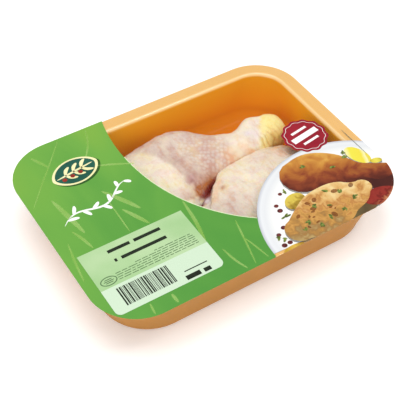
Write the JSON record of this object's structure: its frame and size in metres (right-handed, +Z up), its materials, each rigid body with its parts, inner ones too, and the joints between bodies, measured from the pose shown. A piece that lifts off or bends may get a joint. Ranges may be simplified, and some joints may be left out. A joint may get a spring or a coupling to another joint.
{
  "type": "sealed meat tray pack",
  "caption": "Sealed foam tray of raw chicken leg quarters with a clear printed lidding film and a stick-on label, lying flat as it stands on a shop shelf.",
  "frame": {"origin": "on the floor under the middle of the tray", "axes": "+X along the long side, +Y to the back, +Z up"},
  "size_m": [0.23, 0.172, 0.0405],
  "materials": {
    "tray_foam": "satin",
    "lid_film": "clear gloss",
    "label_paper": "satin",
    "raw_skin": "moist"
  },
  "bodies": {
    "root": {"tray": "tray_foam", "lid_film": "lid_film", "label": "label_paper", "leg_back": "raw_skin", "leg_front": "raw_skin"}
  },
  "joints": []
}
